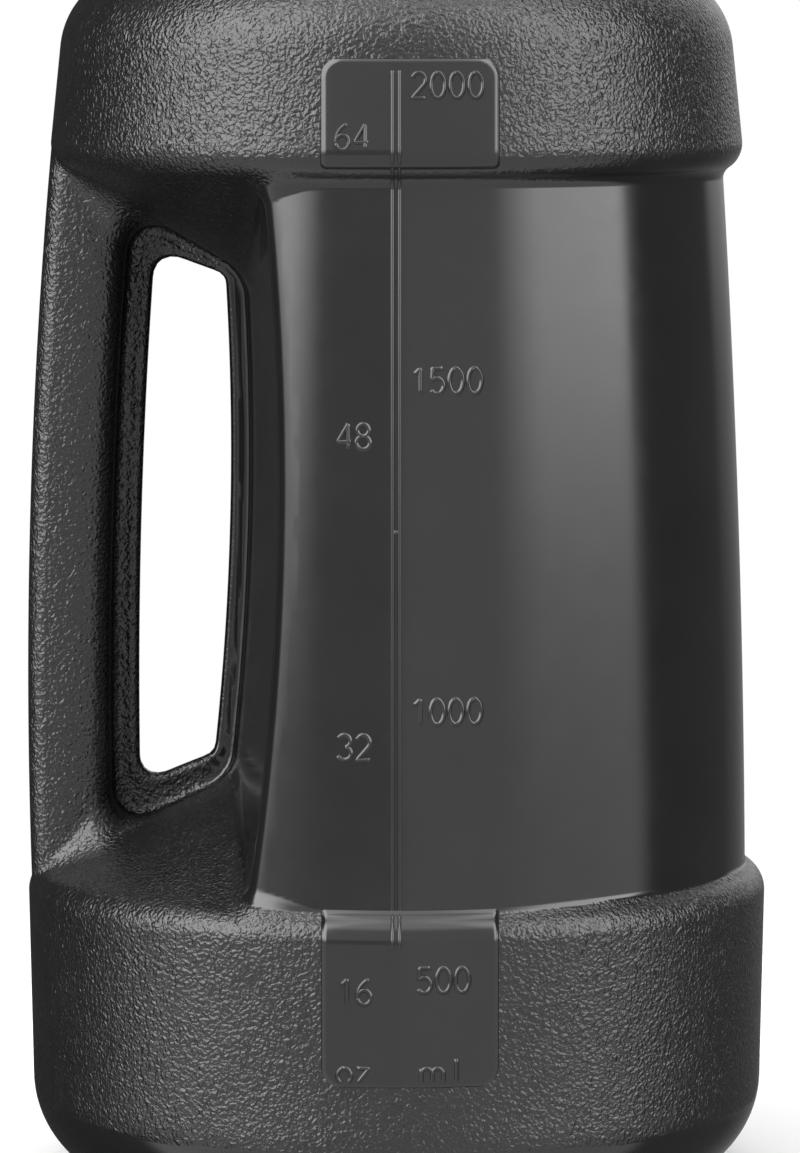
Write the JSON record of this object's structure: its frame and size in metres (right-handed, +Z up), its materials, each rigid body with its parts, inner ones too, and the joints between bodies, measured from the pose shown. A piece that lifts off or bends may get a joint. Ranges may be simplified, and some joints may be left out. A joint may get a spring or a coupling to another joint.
{
  "type": "calf feeding bottle",
  "caption": "Two-litre calf feeding bottle with a moulded-in side handle, a screw collar, a rubber teat and a flow valve under it.",
  "frame": {"origin": "centre of the foot, on the surface the bottle stands on", "axes": "+Z up along the bottle's axis to the teat, -Y out of the front with the volume scale, -X out through the handle"},
  "size_m": [0.1314, 0.1314, 0.3549],
  "materials": {
    "bottle_plastic": "black blow-moulded polyethylene: leather grain on the bands and grip, smooth satin gloss on the waist",
    "collar_plastic": "black injection-moulded polypropylene with a fine satin texture",
    "teat_rubber": "red-brown natural rubber, satin",
    "seal_rubber": "dark grey silicone rubber, matte",
    "valve_plastic": "natural white polypropylene, satin",
    "disc_plastic": "blue polypropylene, satin",
    "ball_plastic": "polished white acetal"
  },
  "bodies": {
    "bottle": {"bottle_body": "bottle_plastic", "sealing_washer": "seal_rubber"},
    "teat_unit": {"valve_plate": "valve_plastic", "valve_cage": "valve_plastic", "vent_valve": "seal_rubber", "teat": "teat_rubber"},
    "collar": {"screw_collar": "collar_plastic"},
    "ball": {"valve_ball": "ball_plastic"},
    "selector": {"flow_disc": "disc_plastic"}
  },
  "joints": [
    {"name": "teat_lift", "type": "slide", "parent": "bottle", "child": "teat_unit", "axis": [0, 0, 1], "range_m": [0, 0.00751]},
    {"name": "collar_turn", "type": "hinge", "parent": "teat_unit", "child": "collar", "pos_m": [0, 0, 0.245], "axis": [0, 0, 1], "range_deg": [0, 540]},
    {"name": "ball_lift", "type": "slide", "parent": "teat_unit", "child": "ball", "axis": [0, 0, 1], "range_m": [0, 0.004]},
    {"name": "selector_turn", "type": "hinge", "parent": "teat_unit", "child": "selector", "pos_m": [-0.0075, 0, 0.2477], "axis": [0, 0, 1], "range_deg": [-80, 80]}
  ],
  "couplings": [
    {"joint": "teat_lift", "follows": "collar_turn", "m_per_rad": 0.00079577}
  ]
}
